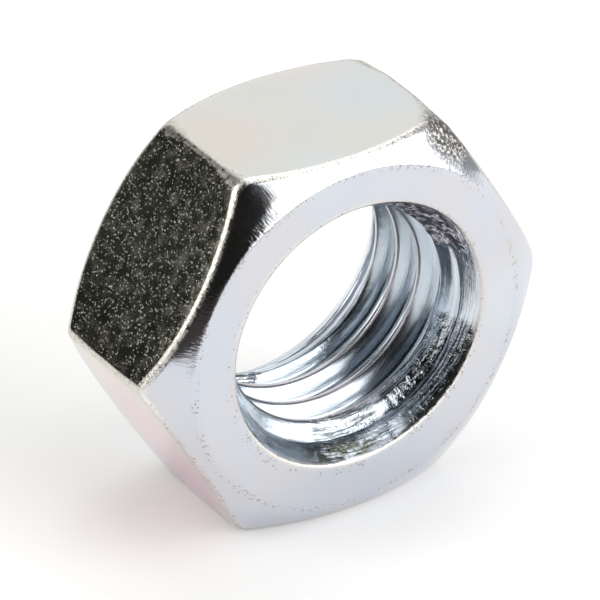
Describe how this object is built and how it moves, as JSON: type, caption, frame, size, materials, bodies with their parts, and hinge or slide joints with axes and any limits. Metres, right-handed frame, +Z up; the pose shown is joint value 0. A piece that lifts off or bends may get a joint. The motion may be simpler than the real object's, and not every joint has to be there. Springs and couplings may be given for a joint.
{
  "type": "hex nut",
  "caption": "Plated steel hexagon nut with a right-hand coarse metric thread, chamfered on both faces, standing on one flat.",
  "frame": {"origin": "centre of the flat that the nut stands on, on the surface below it", "axes": "+Z up from the flat it stands on, +Y along the thread from the front bearing face to the back one, +X across the corners, to the right when the front face is looked at"},
  "size_m": [0.0242, 0.0104, 0.021],
  "materials": {
    "zinc_plate": "bright blue-white zinc plate on forged steel, satin on the pressed faces and brighter on the turned ones"
  },
  "bodies": {
    "root": {"hex_nut": "zinc_plate"}
  },
  "joints": []
}
